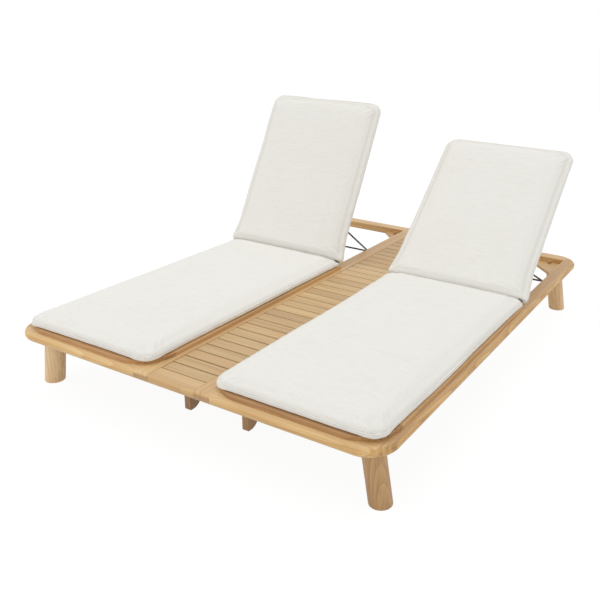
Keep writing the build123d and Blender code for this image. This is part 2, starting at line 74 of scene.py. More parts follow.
# Profile of a half from the rim of its underside up to its crown, as inset and height
PAD_PROFILE = (
    (0.0030, 0.0), (0.0, 0.0020), (-0.0020, 0.0060), (-0.0026, 0.0110), (-0.0020, 0.0160),
    (0.0005, 0.0200), (0.0050, 0.0235), (0.0120, 0.0265), (0.0250, 0.0298), (0.0500, 0.0332),
    (0.0800, 0.0359), (0.1300, 0.0378))
FOLD_INSET_SHARE = 0.12

# Swelling of a half by cloth simulation
PAD_VOXEL = 0.005
PAD_PRESSURE = 4.0
HELD_HEIGHT = 0.004
MOST_SWELL = 0.006
SWELL_FRAMES = 20

# Fold: the gap between the halves, the reach of their lean and their spread sideways
FOLD_GAP = 0.0006
LEAN_REACH = 0.09
SEAT_BULGE = 0.005
BACK_BULGE = 0.014
BULGE_REACH = 0.15
BULGE_START = 0.2
BULGE_RAMP = 0.1

# Hem: where its gathers lie, and how fast each kind of unevenness changes from place to place;
# the fine gathers' rate is a multiple of the others'
HEM_REACH = 0.050
GATHER_START = 0.008
GATHER_RAMP = 0.016
CORNER_REACH = 0.16
CORNER_EXTRA = 1.6
GATHER_RATE = (34, 14)
FINE_GATHER_RATE = 2.3
SOFT_RATE = (7, 5)
FINE_SOFT_RATE = (17, 13)
WAVE_RATE = 6
FINE_WAVE_RATE = 40

# Hem: depths of the gathers, of the cloth's unevenness and of the tuck under the rim
GATHER_DEPTH = 0.0013
FINE_GATHER_DEPTH = 0.0006
SOFT_DEPTH = 0.0009
FINE_SOFT_DEPTH = 0.0004
SOFT_LOSS = 0.6
WAVE_DEPTH = 0.0034
FINE_WAVE_DEPTH = 0.0008
TUCK_DEPTH = 0.008
TUCK_HEIGHT = 0.0065
PULL_RAMP = 0.008
FRONT_DROOP = 0.008
DROOP_REACH = 0.085

# Painted shade of a groove above the welt
GROOVE_REACH = 0.035
GROOVE_FOLD_GAP = 0.03
GROOVE_RISE = 0.0035
GROOVE_WIDTH = 0.0030

# Seams round each half: the welt's height above the underside, and the height above the welt of a
# thin dark tube that paints the shade of the groove there
SEAT_WELT_HEIGHT = 0.0172
BACK_WELT_HEIGHT = 0.0240
WELT_RADIUS = 0.0022
SHADE_LINE_RISE = 0.0034
SHADE_LINE_RADIUS = 0.0008

# Tie cord at the fold's right end
TIE_RADIUS = 0.0013
TIE_INSET = 0.022
TIE_RISE = 0.023
TIE_REACH = 0.015
TIE_HEIGHT = 0.020
TIE_HALF_GAP = 0.0017
TIE_STEPS = 12
TIE_TURN = 80

# Rows of boards: counts and gaps as in the solids, and the back's slats from its hinge
TABLE_SLAT_COUNT = 34
TABLE_SLAT_GAP = 0.004
SEAT_SLAT_COUNT = 12
SEAT_SLAT_GAP = 0.017
BACK_SLAT_STEP = (0.063, 0.0797)
TABLE_BOARD_STEP = (-1.1, 0.9)

# Grain of the wood: how finely each layer is drawn along, beside and into the board
BROAD_SCALE = (1.1, 16, 16)
WANDER_SCALE = (0.9, 3.0, 3.0)
FIBRE_SCALE = (9, 420, 420)
STREAK_SCALE = (2.6, 90, 90)
LINE_SCALE = (1.8, 150, 150)
WARM_SCALE = (0.7, 5, 5)
CUT_SCALE = (150, 150, 150)

# Share of each layer in the wood's tone, and how far the boards differ
BROAD_SHARE = 0.46
RING_SHARE = 0.13
STREAK_SHARE = 0.41
BOARD_SPREAD = 0.06

# Growth rings: their run along the board, the heart's depth and how far it strays
RING_RUN = 0.06
HEART_DEPTH = 0.055
HEART_WANDER = 0.11
HEART_SPREAD = 0.3

# How far up a rail's outer face its underside's shade reaches
SHADE_HEIGHT = 0.010

# Threads of the cloth: how finely the slubs and the cross threads are drawn, and the weave's pitch
SLUB_SCALE = (16, 620, 620)
CROSS_SCALE = (800, 20, 20)
WEAVE_ACROSS = 4600.0
WEAVE_ALONG = 4000.0

# Camera, solved from the photo's straight edges; its turns are in radians
PHOTO_SIZE = 600
FOCAL_PIXELS = 738.4
CENTRE_PIXEL = (381.7, 249.8)
CAMERA_PLACE = (1.6038, -2.5252, 1.4071)
CAMERA_AZIMUTH = 0.5036
CAMERA_ELEVATION = 0.3189
CAMERA_ROLL = 0.0278
SENSOR_WIDTH = 36
CAMERA_RANGE = 60

# Studio
SKY_STRENGTH = 0.77
FLOOR_HALF = 30
FLOOR_GLOW = 1.05
FLOOR_GLOW_SHARE = 0.89


# Camera and light

def make_camera():
    az, el, roll = CAMERA_AZIMUTH, CAMERA_ELEVATION, CAMERA_ROLL
    forward = Vector((-math.sin(az) * math.cos(el), math.cos(az) * math.cos(el), -math.sin(el)))
    level = forward.cross(Vector((0, 0, 1))).normalized()
    upright = level.cross(forward)
    right = math.cos(roll) * level + math.sin(roll) * upright
    up = -math.sin(roll) * level + math.cos(roll) * upright
    data = bpy.data.cameras.new("photo_camera")
    data.sensor_width = SENSOR_WIDTH
    data.lens = FOCAL_PIXELS / PHOTO_SIZE * SENSOR_WIDTH
    data.shift_x = (PHOTO_SIZE / 2 - CENTRE_PIXEL[0]) / PHOTO_SIZE
    data.shift_y = (CENTRE_PIXEL[1] - PHOTO_SIZE / 2) / PHOTO_SIZE
    data.clip_end = CAMERA_RANGE
    camera = bpy.data.objects.new("photo_camera", data)
    turn = Matrix((right, up, -forward)).transposed().to_4x4()
    camera.matrix_world = Matrix.Translation(CAMERA_PLACE) @ turn
    bpy.context.collection.objects.link(camera)
    bpy.context.scene.camera = camera


def make_area(name, place, target, size, power, colour=(1, 1, 1)):
    """A square lamp; its power is in watts."""
    data = bpy.data.lights.new(name, "AREA")
    data.size = size
    data.energy = power
    data.color = colour
    lamp = bpy.data.objects.new(name, data)
    lamp.location = place
    lamp.rotation_euler = (Vector(target) - Vector(place)).to_track_quat("-Z", "Y").to_euler()
    bpy.context.collection.objects.link(lamp)


def largest(tree, a, b):
    """The larger of two values, as a node's output."""
    node = tree.nodes.new("ShaderNodeMath")
    node.operation = "MAXIMUM"
    tree.links.new(a, node.inputs[0])
    tree.links.new(b, node.inputs[1])
    return node.outputs[0]


def seen_rays(tree, path):
    """1 for rays that show a surface to the camera, straight, mirrored or through glass."""
    mirrored = largest(tree, path.outputs["Is Glossy Ray"], path.outputs["Is Transmission Ray"])
    return largest(tree, path.outputs["Is Camera Ray"], mirrored)


def make_world():
    """White where the camera sees it, and a dimmer sky for the light that it gives."""
    world = bpy.data.worlds.new("studio")
    world.use_nodes = True
    tree = world.node_tree
    tree.nodes.clear()
    path = tree.nodes.new("ShaderNodeLightPath")
    dim = tree.nodes.new("ShaderNodeBackground")
    dim.inputs["Color"].default_value = (1.0, 0.995, 0.985, 1)
    dim.inputs["Strength"].default_value = SKY_STRENGTH
    white = tree.nodes.new("ShaderNodeBackground")
    white.inputs["Color"].default_value = (1, 1, 1, 1)
    white.inputs["Strength"].default_value = 1.0
    mix = tree.nodes.new("ShaderNodeMixShader")
    out = tree.nodes.new("ShaderNodeOutputWorld")
    tree.links.new(seen_rays(tree, path), mix.inputs[0])
    tree.links.new(dim.outputs[0], mix.inputs[1])
    tree.links.new(white.outputs[0], mix.inputs[2])
    tree.links.new(mix.outputs[0], out.inputs[0])
    bpy.context.scene.world = world


def make_floor():
    """Pale paper that keeps the object's shadow and glows a little where it is seen."""
    mesh = bpy.data.meshes.new("floor")
    corners = [(-1, -1), (1, -1), (1, 1), (-1, 1)]
    mesh.from_pydata([(x * FLOOR_HALF, y * FLOOR_HALF, 0) for x, y in corners], [], [(0, 1, 2, 3)])
    floor = bpy.data.objects.new("floor", mesh)
    bpy.context.collection.objects.link(floor)
    material = bpy.data.materials.new("floor_paper")
    material.use_nodes = True
    tree = material.node_tree
    tree.nodes.clear()
    path = tree.nodes.new("ShaderNodeLightPath")
    tone = tree.nodes.new("ShaderNodeMix")
    tone.data_type = "RGBA"
    tone.inputs[6].default_value = (0.88, 0.88, 0.88, 1)
    tone.inputs[7].default_value = (0.82, 0.815, 0.81, 1)
    tree.links.new(path.outputs["Is Diffuse Ray"], tone.inputs[0])
    diffuse = tree.nodes.new("ShaderNodeBsdfDiffuse")
    tree.links.new(tone.outputs[2], diffuse.inputs["Color"])
    glow = tree.nodes.new("ShaderNodeEmission")
    glow.inputs["Color"].default_value = (1, 1, 1, 1)
    glow.inputs["Strength"].default_value = FLOOR_GLOW
    share = tree.nodes.new("ShaderNodeMath")
    share.operation = "MULTIPLY"
    share.inputs[1].default_value = FLOOR_GLOW_SHARE
    tree.links.new(seen_rays(tree, path), share.inputs[0])
    mix = tree.nodes.new("ShaderNodeMixShader")
    out = tree.nodes.new("ShaderNodeOutputMaterial")
    tree.links.new(share.outputs[0], mix.inputs[0])
    tree.links.new(diffuse.outputs[0], mix.inputs[1])
    tree.links.new(glow.outputs[0], mix.inputs[2])
    tree.links.new(mix.outputs[0], out.inputs[0])
    mesh.materials.append(material)


# Materials

def srgb(r, g, b):
    """A colour given in display values, 0 to 255, as the shader's linear colour."""
    def one(c):
        c /= 255
        return c / 12.92 if c <= 0.04045 else ((c + 0.055) / 1.055) ** 2.4
    return (one(r), one(g), one(b), 1)


# Light, middle and dark tone of each kind of wood
PLAIN_TONES = (srgb(228, 192, 132), srgb(207, 164, 103), srgb(158, 110, 62))
RAIL_TONES = (srgb(248, 214, 152), srgb(222, 178, 112), srgb(160, 112, 60))
TABLE_TONES = (srgb(226, 194, 136), srgb(208, 171, 112), srgb(162, 122, 74))
LEG_TONES = (srgb(214, 178, 128), srgb(194, 153, 102), srgb(154, 110, 66))
# Painted light: a paler copy of the leg wood for the left front and right rear legs, which are lit
# more
LIT_LEG_TONES = (srgb(255, 232, 188), srgb(248, 214, 166), srgb(210, 166, 116))
# Painted shade: a darker copy of the leg wood for the centre legs, in the shade under the frame
SHADED_CENTRE_LEG_TONES = (srgb(186, 140, 92), srgb(160, 114, 70), srgb(116, 78, 46))
# The seat panels' darker brown is partly their own tone and partly painted shade from the cushion
# above
PANEL_TONES = (srgb(202, 154, 96), srgb(178, 130, 77), srgb(134, 92, 50))
STILE_TONES = (srgb(216, 168, 108), srgb(194, 146, 90), srgb(150, 106, 60))

BROWN_LINE = srgb(134, 92, 52)
WARM_PATCH = srgb(206, 154, 104)
# Painted sheen: the greyer tone given to wood faces that look up, as lit from above
TOP_SHEEN = srgb(196, 168, 134)
AGED_BOARD = srgb(188, 162, 122)
GAP_SHADE = srgb(96, 66, 38)
UNDERSIDE_SHADE = srgb(138, 92, 50)
WORN_EDGE = srgb(232, 200, 150)
END_GRAIN = (srgb(176, 132, 88), srgb(122, 84, 50))
# Painted shade of the groove above the welt
HEM_SHADE = srgb(206, 198, 189)


class Nodes:
    """A material's node tree, with short calls to add and join nodes."""

    def __init__(self, name):
        self.material = bpy.data.materials.new(name)
        self.material.use_nodes = True
        self.tree = self.material.node_tree
        self.tree.nodes.clear()
        self.out = self.add("ShaderNodeOutputMaterial")
        self.bsdf = self.add("ShaderNodeBsdfPrincipled")
        self.tree.links.new(self.bsdf.outputs[0], self.out.inputs[0])

    def add(self, kind, inputs=None, **settings):
        node = self.tree.nodes.new(kind)
        for key, value in settings.items():
            setattr(node, key, value)
        for key, value in (inputs or {}).items():
            self.put(node.inputs[key], value)
        return node

    def put(self, socket, value):
        if isinstance(value, bpy.types.NodeSocket):
            self.tree.links.new(value, socket)
        else:
            socket.default_value = value

    def place(self, output="Object"):
        return self.add("ShaderNodeTexCoord").outputs[output]

    def split(self, vector):
        return self.add("ShaderNodeSeparateXYZ", {0: vector}).outputs

    def joined(self, x, y, z):
        return self.add("ShaderNodeCombineXYZ", {0: x, 1: y, 2: z}).outputs[0]

    def math(self, operation, a, b=0.0):
        return self.add("ShaderNodeMath", {0: a, 1: b}, operation=operation).outputs[0]

    def plus(self, a, b):
        return self.math("ADD", a, b)

    def times(self, a, b):
        return self.math("MULTIPLY", a, b)

    def remap(self, value, low, high, to_low=0.0, to_high=1.0):
        node = self.add("ShaderNodeMapRange", {
            "Value": value, "From Min": low, "From Max": high, "To Min": to_low, "To Max": to_high})
        return node.outputs["Result"]

    def ramp(self, value, stops):
        node = self.add("ShaderNodeValToRGB", {0: value})
        ramp = node.color_ramp
        while len(ramp.elements) < len(stops):
            ramp.elements.new(0.5)
        for element, (place, colour) in zip(ramp.elements, stops):
            element.position = place
            element.color = colour
        return node.outputs["Color"]

    def mix(self, share, a, b):
        node = self.add("ShaderNodeMix", data_type="RGBA")
        self.put(node.inputs["Factor"], share)
        self.put([s for s in node.inputs if s.name == "A" and s.type == "RGBA"][0], a)
        self.put([s for s in node.inputs if s.name == "B" and s.type == "RGBA"][0], b)
        return [s for s in node.outputs if s.type == "RGBA"][0]

    def noise(self, vector, scale, detail=4.0, rough=0.55, distortion=0.0):
        node = self.add("ShaderNodeTexNoise", {
            "Vector": vector, "Scale": scale, "Detail": detail, "Roughness": rough,
            "Distortion": distortion})
        return node.outputs["Fac"]

    def stretched(self, vector, scale):
        node = self.add("ShaderNodeVectorMath", {0: vector, 1: scale}, operation="MULTIPLY")
        return node.outputs[0]

    def bump(self, height, strength, distance):
        node = self.add("ShaderNodeBump", {
            "Height": height, "Strength": strength, "Distance": distance})
        self.put(self.bsdf.inputs["Normal"], node.outputs[0])


def wood_place(n, tilt):
    """Where a point lies in the model, turned back by the angle of a raised back panel."""
    place = n.place()
    if not tilt:
        return place
    moved = n.add("ShaderNodeVectorMath", {0: place, 1: (0, HINGE_Y, HINGE_Z)}, operation="SUBTRACT")
    turned = n.add("ShaderNodeVectorRotate", {
        "Vector": moved.outputs[0], "Angle": -math.radians(tilt)}, rotation_type="X_AXIS")
    return turned.outputs[0]


def board_chance(n, x, y, step, offset):
    """A chance value for each board, from 0 to 1."""
    if step:
        board = n.math("FLOOR", n.math("DIVIDE", n.math("SUBTRACT", y, step[0]), step[1]))
    else:
        board = n.math("SIGN", x)
    pick = n.add("ShaderNodeTexWhiteNoise", {"W": n.plus(board, offset + 0.5)},
                 noise_dimensions="1D")
    return pick.outputs["Value"]


def growth_rings(n, grown, along, side, deep, chance):
    """Growth rings about a heart that lies beside and below the board."""
    wander = n.noise(n.stretched(grown, WANDER_SCALE), 1.6, 2.0, 0.5)
    ring_side = n.plus(n.plus(side, n.times(wander, HEART_WANDER)), n.times(chance, HEART_SPREAD))
    place = n.joined(n.times(along, RING_RUN), ring_side, n.plus(deep, HEART_DEPTH))
    rings = n.add("ShaderNodeTexWave", {
        "Vector": place, "Scale": 27.0, "Distortion": 2.2, "Detail": 3.0,
        "Detail Scale": 1.4, "Detail Roughness": 0.6},
        wave_type="RINGS", rings_direction="X", wave_profile="SAW")
    return rings.outputs["Fac"]


def make_wood(name, grain, tilt=0.0, step=None, tones=PLAIN_TONES, offset=0.0, top_sheen=0.6, gaps=0.0,
              foot=-1.0):
    """Oiled hardwood whose grain runs along one axis of the model.

    grain is x, y or z; tilt turns the grain with a raised back panel; step, as (start, pitch),
    says where a row of boards repeats along Y, so that each board differs, and offset sets one
    material's boards apart from another's. top_sheen is how far the faces that look up are
    painted greyer, a painted sheen of the light from above, and gaps how far the faces between
    boards are painted with shade. foot is the height from which the wood is painted with shade
    towards its underside."""
    n = Nodes(name)
    light, middle, dark = tones
    place = wood_place(n, tilt)
    x, y, z = n.split(place)
    along, side, deep = {"x": (x, y, z), "y": (y, x, z), "z": (z, x, y)}[grain]
    chance = board_chance(n, x, y, step, offset)
    shift = n.times(chance, 7.3)
    grown = n.joined(n.plus(along, shift), n.plus(side, offset * 0.37), n.plus(deep, shift))

    broad = n.noise(n.stretched(grown, BROAD_SCALE), 1.0, 3.0, 0.5, 0.4)
    rings = growth_rings(n, grown, along, side, deep, chance)
    fibres = n.noise(n.stretched(grown, FIBRE_SCALE), 1.0, 3.0, 0.6)
    streaks = n.noise(n.stretched(grown, STREAK_SCALE), 1.0, 4.0, 0.65, 0.2)
    value = n.plus(n.times(broad, BROAD_SHARE), n.times(rings, RING_SHARE))
    value = n.plus(value, n.times(streaks, STREAK_SHARE))
    value = n.plus(value, n.remap(chance, 0, 1, -BOARD_SPREAD, BOARD_SPREAD))
    colour = n.ramp(value, [(0.34, light), (0.52, middle), (0.72, dark)])
    pores = n.remap(fibres, 0.52, 0.72)
    colour = n.mix(n.times(pores, 0.26), colour, dark)
    lines = n.remap(n.noise(n.stretched(grown, LINE_SCALE), 1.0, 2.0, 0.5), 0.60, 0.70)
    colour = n.mix(n.times(lines, 0.38), colour, BROWN_LINE)
    warm = n.noise(n.stretched(grown, WARM_SCALE), 1.3, 2.0)
    colour = n.mix(n.remap(warm, 0.40, 0.72, 0.0, 0.30), colour, WARM_PATCH)

    facing = n.split(n.place("Normal"))
    # Painted sheen: faces that look up are painted greyer, as lit from above
    raised = n.remap(facing[2], 0.55, 0.97, 0.0, top_sheen)
    colour = n.mix(raised, colour, n.mix(0.62, colour, TOP_SHEEN))
    if gaps:
        aged = n.math("FRACT", n.times(chance, 7.0))
        colour = n.mix(n.remap(aged, 0, 1, 0.0, 0.28), colour, AGED_BOARD)
        # Painted shade on the faces between boards, which face along Y
        between = n.remap(n.math("ABSOLUTE", facing[1]), 0.80, 0.95, 0.0, gaps)
        colour = n.mix(between, colour, GAP_SHADE)
    else:
        end = n.math("ABSOLUTE", facing["xyz".index(grain)])
        grained = n.noise(n.stretched(place, CUT_SCALE), 1.0, 3.0, 0.6)
        cut = n.mix(n.remap(grained, 0.35, 0.65), *END_GRAIN)
        colour = n.mix(n.remap(end, 0.80, 0.96, 0.0, 0.75), colour, cut)
    low = n.remap(z, foot, foot + SHADE_HEIGHT, 0.42, 0.0)
    colour = n.mix(low, colour, UNDERSIDE_SHADE)
    edge = n.add("ShaderNodeNewGeometry").outputs["Pointiness"]
    colour = n.mix(n.remap(edge, 0.52, 0.60, 0.0, 0.25), colour, WORN_EDGE)

    n.put(n.bsdf.inputs["Base Color"], colour)
    n.put(n.bsdf.inputs["Roughness"], n.remap(streaks, 0.2, 0.8, 0.39, 0.56))
    n.bsdf.inputs["Specular IOR Level"].default_value = 0.5
    n.bsdf.inputs["Coat Weight"].default_value = 0.12
    n.bsdf.inputs["Coat Roughness"].default_value = 0.32
    n.bump(n.math("SUBTRACT", n.times(streaks, 0.5), n.times(pores, 0.5)), 0.35, 0.0006)
    return n.material


def make_metal(name, colour, rough, metallic=1.0):
    """A clouded, finely grained metal, or with metallic 0 a dull cord."""
    n = Nodes(name)
    place = n.place()
    cloud = n.noise(place, 60.0, 4.0, 0.6)
    shade = n.add("ShaderNodeVectorMath", {
        0: colour[:3], "Scale": n.remap(cloud, 0.3, 0.7, 0.75, 1.2)}, operation="SCALE")
    n.put(n.bsdf.inputs["Base Color"], shade.outputs[0])
    n.bsdf.inputs["Metallic"].default_value = metallic
    n.put(n.bsdf.inputs["Roughness"], n.remap(cloud, 0.3, 0.7, rough - 0.08, rough + 0.10))
    n.bump(n.noise(place, 900.0, 2.0, 0.6), 0.25, 0.0003)
    return n.material


def make_rubber(name, light, dark):
    n = Nodes(name)
    cloud = n.noise(n.place(), 120.0, 4.0, 0.6)
    n.put(n.bsdf.inputs["Base Color"], n.ramp(cloud, [(0.3, dark), (0.7, light)]))
    n.put(n.bsdf.inputs["Roughness"], n.remap(cloud, 0.3, 0.7, 0.65, 0.85))
    n.bump(cloud, 0.3, 0.0005)
    return n.material


def make_fabric(name, light, dark, weave=1.0):
    """Woven outdoor cloth: slubs across the pad, a plain weave and painted shade of a soft groove at
    the hem.
    """
    n = Nodes(name)
    place = n.place()
    x, y, z = n.split(place)
    sideways = n.math("ABSOLUTE", n.split(n.place("Normal"))[0])
    slubs = n.noise(n.stretched(place, SLUB_SCALE), 1.0, 3.0, 0.62, 0.1)
    slubs = n.times(n.math("SUBTRACT", slubs, 0.5), n.remap(sideways, 0.35, 0.85, 1.0, 0.12))
    slubs = n.plus(slubs, 0.5)
    warp = n.noise(n.stretched(place, CROSS_SCALE), 1.0, 2.0, 0.55)
    cloud = n.noise(place, 5.0, 3.0, 0.5)
    over = n.math("SINE", n.times(x, WEAVE_ACROSS))
    under = n.math("SINE", n.times(n.plus(y, z), WEAVE_ALONG))
    check = n.times(over, under)

    value = n.plus(n.times(slubs, 0.66), n.times(warp, 0.26))
    value = n.plus(value, n.times(cloud, 0.08))
    value = n.plus(value, n.times(check, 0.015))
    colour = n.ramp(value, [(0.30, dark), (0.52, light), (0.80, light)])
    hem = n.add("ShaderNodeAttribute", attribute_name="hem").outputs["Fac"]
    # Painted shade of a groove above the welt, by the share kept on the pad's points
    n.put(n.bsdf.inputs["Base Color"], n.mix(n.times(hem, 0.30), colour, HEM_SHADE))
    n.bsdf.inputs["Roughness"].default_value = 0.9
    n.bsdf.inputs["Specular IOR Level"].default_value = 0.25
    n.bsdf.inputs["Sheen Weight"].default_value = 0.12
    n.bsdf.inputs["Sheen Roughness"].default_value = 0.5
    relief = n.plus(n.times(check, 0.10 * weave), n.times(slubs, 0.6))
    n.bump(n.plus(relief, n.times(warp, 0.3)), 0.25, 0.0007)
    return n.material


# The carried-over pieces

def dress(material, *nodes):
    for node in nodes:
        for slot in frame["nodes"][node].material_slots:
            slot.material = material


def of_side(side, *names):
    return [side + "_" + name for name in names]


def row_step(node, count, gap):
    """Start and pitch of a row of boards along Y; each board's bounds lie in the gaps."""
    low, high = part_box(node)
    return low.y - gap / 2, (high.y - low.y + gap) / count


def dress_table():
    boards = make_wood("table_board_wood", "x", step=TABLE_BOARD_STEP, offset=3.3, foot=RAIL_FOOT)
    slats = make_wood("table_wood", "x", offset=6.4, top_sheen=0.45, gaps=0.7, tones=TABLE_TONES,
                      step=row_step("table_slats", TABLE_SLAT_COUNT, TABLE_SLAT_GAP))
    dress(boards, "table_front_board", "table_head_board")
    dress(slats, "table_slats")


def dress_rails_and_legs():
    rail_x = make_wood("rail_wood_x", "x", offset=1.3, tones=RAIL_TONES, foot=RAIL_FOOT)
    rail_y = make_wood("rail_wood_y", "y", offset=2.1, tones=RAIL_TONES, foot=RAIL_FOOT)
    leg = make_wood("leg_wood", "z", offset=4.2, tones=LEG_TONES)
    # The left front and right rear legs get a paler copy of the leg wood, painted light where they
    # are lit more
    lit_leg = make_wood("lit_leg_wood", "z", offset=4.6, tones=LIT_LEG_TONES)
    # The centre legs get a darker copy of the leg wood, painted shade from the frame above them
    centre_leg = make_wood("shaded_centre_leg_wood", "z", offset=5.1, tones=SHADED_CENTRE_LEG_TONES)
    dress(leg, "left_rear_leg", "right_front_leg")
    dress(lit_leg, "left_front_leg", "right_rear_leg")
    for side in SIDES:
        dress(rail_y, *of_side(side, "side_rail", "centre_rail"))
        dress(rail_x, *of_side(side, "front_rail", "head_rail"))
        dress(centre_leg, *of_side(side, "front_centre_leg", "rear_centre_leg"))


def dress_seats():
    # The seat panels' darker tones are partly their own and partly painted shade from the cushion
    # above
    member = make_wood("panel_wood_x", "x", offset=12.9, top_sheen=0.25, tones=PANEL_TONES)
    stile = make_wood("panel_wood_y", "y", offset=13.6, top_sheen=0.25, tones=STILE_TONES)
    slat = make_wood("seat_slat_wood", "x", offset=15.1, gaps=0.5,
                     step=row_step("left_seat_slats", SEAT_SLAT_COUNT, SEAT_SLAT_GAP))
    for side in SIDES:
        dress(member, *of_side(side, "seat_front_member", "seat_rear_member"))
        dress(stile, side + "_seat_stiles")
        dress(slat, side + "_seat_slats")


def dress_backs():
    for side, facts in SIDES.items():
        stile = make_wood(side + "_back_wood_y", "y", tilt=facts["angle"],
                          offset=17.0 + facts["seed"])
        cross = make_wood(side + "_back_wood_x", "x", tilt=facts["angle"],
                          offset=19.0 + facts["seed"], step=BACK_SLAT_STEP)
        dress(stile, side + "_back_stiles")
        dress(cross, *of_side(side, "back_bottom_rail", "back_top_rail", "back_slats"))


def dress_fittings():
    hidden_x = make_wood("inner_wood_x", "x", offset=9.7)
    hidden_y = make_wood("inner_wood_y", "y", offset=11.2)
    bronze = make_metal("bronze_rod", srgb(74, 64, 54), 0.42, 0.75)
    steel = make_metal("plated_steel", srgb(176, 172, 166), 0.36)
    rubber = make_rubber("pad_rubber", light=srgb(200, 168, 126), dark=srgb(186, 152, 112))
    dress(hidden_x, "corner_gussets")
    dress(hidden_y, "table_bearers", "prop_racks")
    dress(rubber, "rest_pads")
    dress(steel, "hinge_pins", "hinge_plates", "hinge_screws", "hinge_spacers", "leg_bolts")
    for side in SIDES:
        dress(bronze, side + "_prop_bail")
        dress(steel, *of_side(side, "prop_brackets", "bracket_screws", "prop_clips"))


# Cushions

def ease(value):
    value = min(max(value, 0.0), 1.0)
    return value * value * (3 - 2 * value)


def outline(length, radii, inset):
    """Plan outline of a pad half, counter-clockwise; its shoulder is tighter at the fold."""
    half = HALF_WIDTH - inset
    near, far = (max(radius - inset, LEAST_RADIUS) for radius in radii)
    y0 = inset * (FOLD_INSET_SHARE if radii[0] == BACK_FOLD_RADIUS else 1)
    y1 = length - inset * (FOLD_INSET_SHARE if radii[1] == SEAT_FOLD_RADIUS else 1)
    corners = [
        (half - near, y0 + near, near, -90), (half - far, y1 - far, far, 0),
        (-half + far, y1 - far, far, 90), (-half + near, y0 + near, near, 180)]
    points = []
    for x, y, radius, start in corners:
        for k in range(CORNER_STEPS + 1):
            angle = math.radians(start + 90 * k / CORNER_STEPS)
            points.append((x + radius * math.cos(angle), y + radius * math.sin(angle)))
    return points


def evened(points, spacing):
    """The same closed outline with evenly spaced points."""
    lengths = [0.0]
    loop = points + [points[0]]
    for a, b in zip(loop, loop[1:]):
        lengths.append(lengths[-1] + math.dist(a, b))
    total = lengths[-1]
    count = int(total / spacing)
    result = []
    k = 0
    for i in range(count):
        goal = total * i / count
        while lengths[k + 1] < goal:
            k += 1
        share = (goal - lengths[k]) / max(lengths[k + 1] - lengths[k], 1e-9)
        result.append(tuple(p + (q - p) * share for p, q in zip(loop[k], loop[k + 1])))
    return result


def pad_blank(name, length, radii):
    """Closed form of one half of a cushion, lying flat: drawn-in sides and a crowned top."""
    bm = bmesh.new()
    rings = []
    for inset, height in PAD_PROFILE:
        loop = outline(length, radii, inset)
        rings.append([bm.verts.new((x, y, height)) for x, y in loop])
    count = len(rings[0])
    for low, high in zip(rings, rings[1:]):
        for i in range(count):
            j = (i + 1) % count
            bm.faces.new((low[i], low[j], high[j], high[i]))
    bm.faces.new(list(reversed(rings[0])))
    bm.faces.new(rings[-1])
    bmesh.ops.triangulate(bm, faces=[f for f in bm.faces if len(f.verts) > 4])
    mesh = bpy.data.meshes.new(name)
    bm.to_mesh(mesh)
    bm.free()
    obj = bpy.data.objects.new(name, mesh)
    bpy.context.collection.objects.link(obj)
    return obj


def evaluated(obj):
    """The object's mesh with its modifiers applied, as a new mesh."""
    graph = bpy.context.evaluated_depsgraph_get()
    return bpy.data.meshes.new_from_object(obj.evaluated_get(graph))


def remesh(obj):
    modifier = obj.modifiers.new("remesh", "REMESH")
    modifier.mode = "VOXEL"
    modifier.voxel_size = PAD_VOXEL
    mesh = evaluated(obj)
    obj.modifiers.clear()
    obj.data = mesh


def inflate(obj):
    """Swell the pad by cloth simulation, with its underside held flat."""
    before = [v.co.copy() for v in obj.data.vertices]
    held = obj.vertex_groups.new(name="held")
    held.add([v.index for v in obj.data.vertices if v.co.z < HELD_HEIGHT], 1.0, "REPLACE")
    modifier = obj.modifiers.new("cloth", "CLOTH")
    settings = modifier.settings
    settings.quality = 5
    settings.mass = 0.3
    settings.tension_stiffness = 18
    settings.compression_stiffness = 18
    settings.shear_stiffness = 6
    settings.bending_stiffness = 1.2
    settings.use_pressure = True
    settings.uniform_pressure_force = PAD_PRESSURE
    settings.effector_weights.gravity = 0
    settings.vertex_group_mass = "held"
    modifier.collision_settings.use_collision = False
    modifier.point_cache.frame_start = 1
    modifier.point_cache.frame_end = SWELL_FRAMES
    scene = bpy.context.scene
    for step in range(1, SWELL_FRAMES + 1):
        scene.frame_set(step)
    mesh = evaluated(obj)
    obj.modifiers.clear()
    obj.vertex_groups.clear()
    for vertex, start in zip(mesh.vertices, before):
        move = vertex.co - start
        if move.length > MOST_SWELL:
            vertex.co = start + move * (MOST_SWELL / move.length)
        vertex.co.z = max(vertex.co.z, 0.0)
    obj.data = mesh
    scene.frame_set(1)


def swollen_pad(name, length, radii):
    """One half of a cushion, lying flat, as coordinates and faces."""
    blank = pad_blank(name, length, radii)
    remesh(blank)
    inflate(blank)
    smooth = blank.modifiers.new("smooth", "SMOOTH")
    smooth.factor = 0.5
    smooth.iterations = 2
    mesh = evaluated(blank)
    coords = [v.co.copy() for v in mesh.vertices]
    faces = [tuple(p.vertices) for p in mesh.polygons]
    bpy.data.objects.remove(blank, do_unlink=True)
    bpy.data.meshes.remove(mesh)
    return coords, faces


def edge_distance(point, length):
    return min(HALF_WIDTH - abs(point.x), point.y, length - point.y)


def inward(point, length, radii):
    """The plan offset from a point at the pad's rim to the middle part inside its corners."""
    radius = radii[0] if point.y < length / 2 else radii[1]
    x = min(max(point.x, radius - HALF_WIDTH), HALF_WIDTH - radius)
    y = min(max(point.y, radius), length - radius)
    return Vector((x - point.x, y - point.y, 0)), radius


